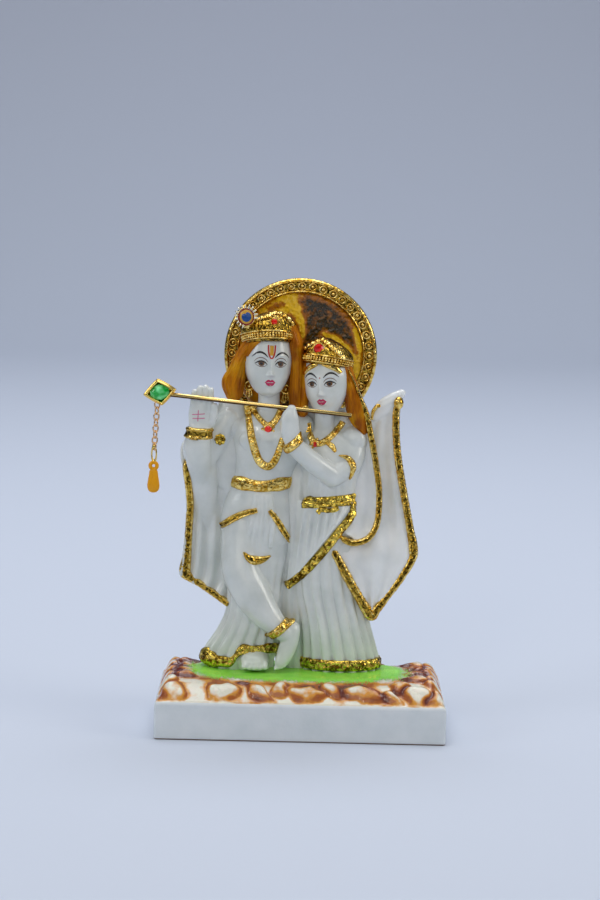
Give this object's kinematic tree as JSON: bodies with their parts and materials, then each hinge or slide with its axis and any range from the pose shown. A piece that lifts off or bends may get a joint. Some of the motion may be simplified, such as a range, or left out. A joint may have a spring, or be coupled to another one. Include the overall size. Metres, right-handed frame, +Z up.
{
  "type": "radha krishna statue",
  "caption": "Devotional statue of Radha and Krishna standing before a round halo on a rocky block base, with a metal flute and a hanging chain.",
  "frame": {"origin": "centre of the base's flat underside", "axes": "+Z up, -Y towards the viewer in front of the figures, +X to that viewer's right"},
  "size_m": [0.1334, 0.06, 0.1955],
  "materials": {
    "resin": "glossy cast marble-dust resin, painted",
    "brass": "polished",
    "green_glass": "cut and polished",
    "red_glass": "cut and polished",
    "amber": "glossy, amber coloured"
  },
  "bodies": {
    "root": {"statue_casting": "resin", "flute_rod": "brass", "flute_bezel": "brass", "flute_gem": "green_glass", "jump_ring": "brass", "drop": "amber", "crown_stone_krishna": "red_glass", "crown_stone_radha": "red_glass", "pendant_stone_krishna": "red_glass", "pendant_stone_radha": "red_glass", "chain_link_1": "brass", "chain_link_2": "brass", "chain_link_3": "brass", "chain_link_4": "brass", "chain_link_5": "brass", "chain_link_6": "brass", "chain_link_7": "brass"}
  },
  "joints": []
}
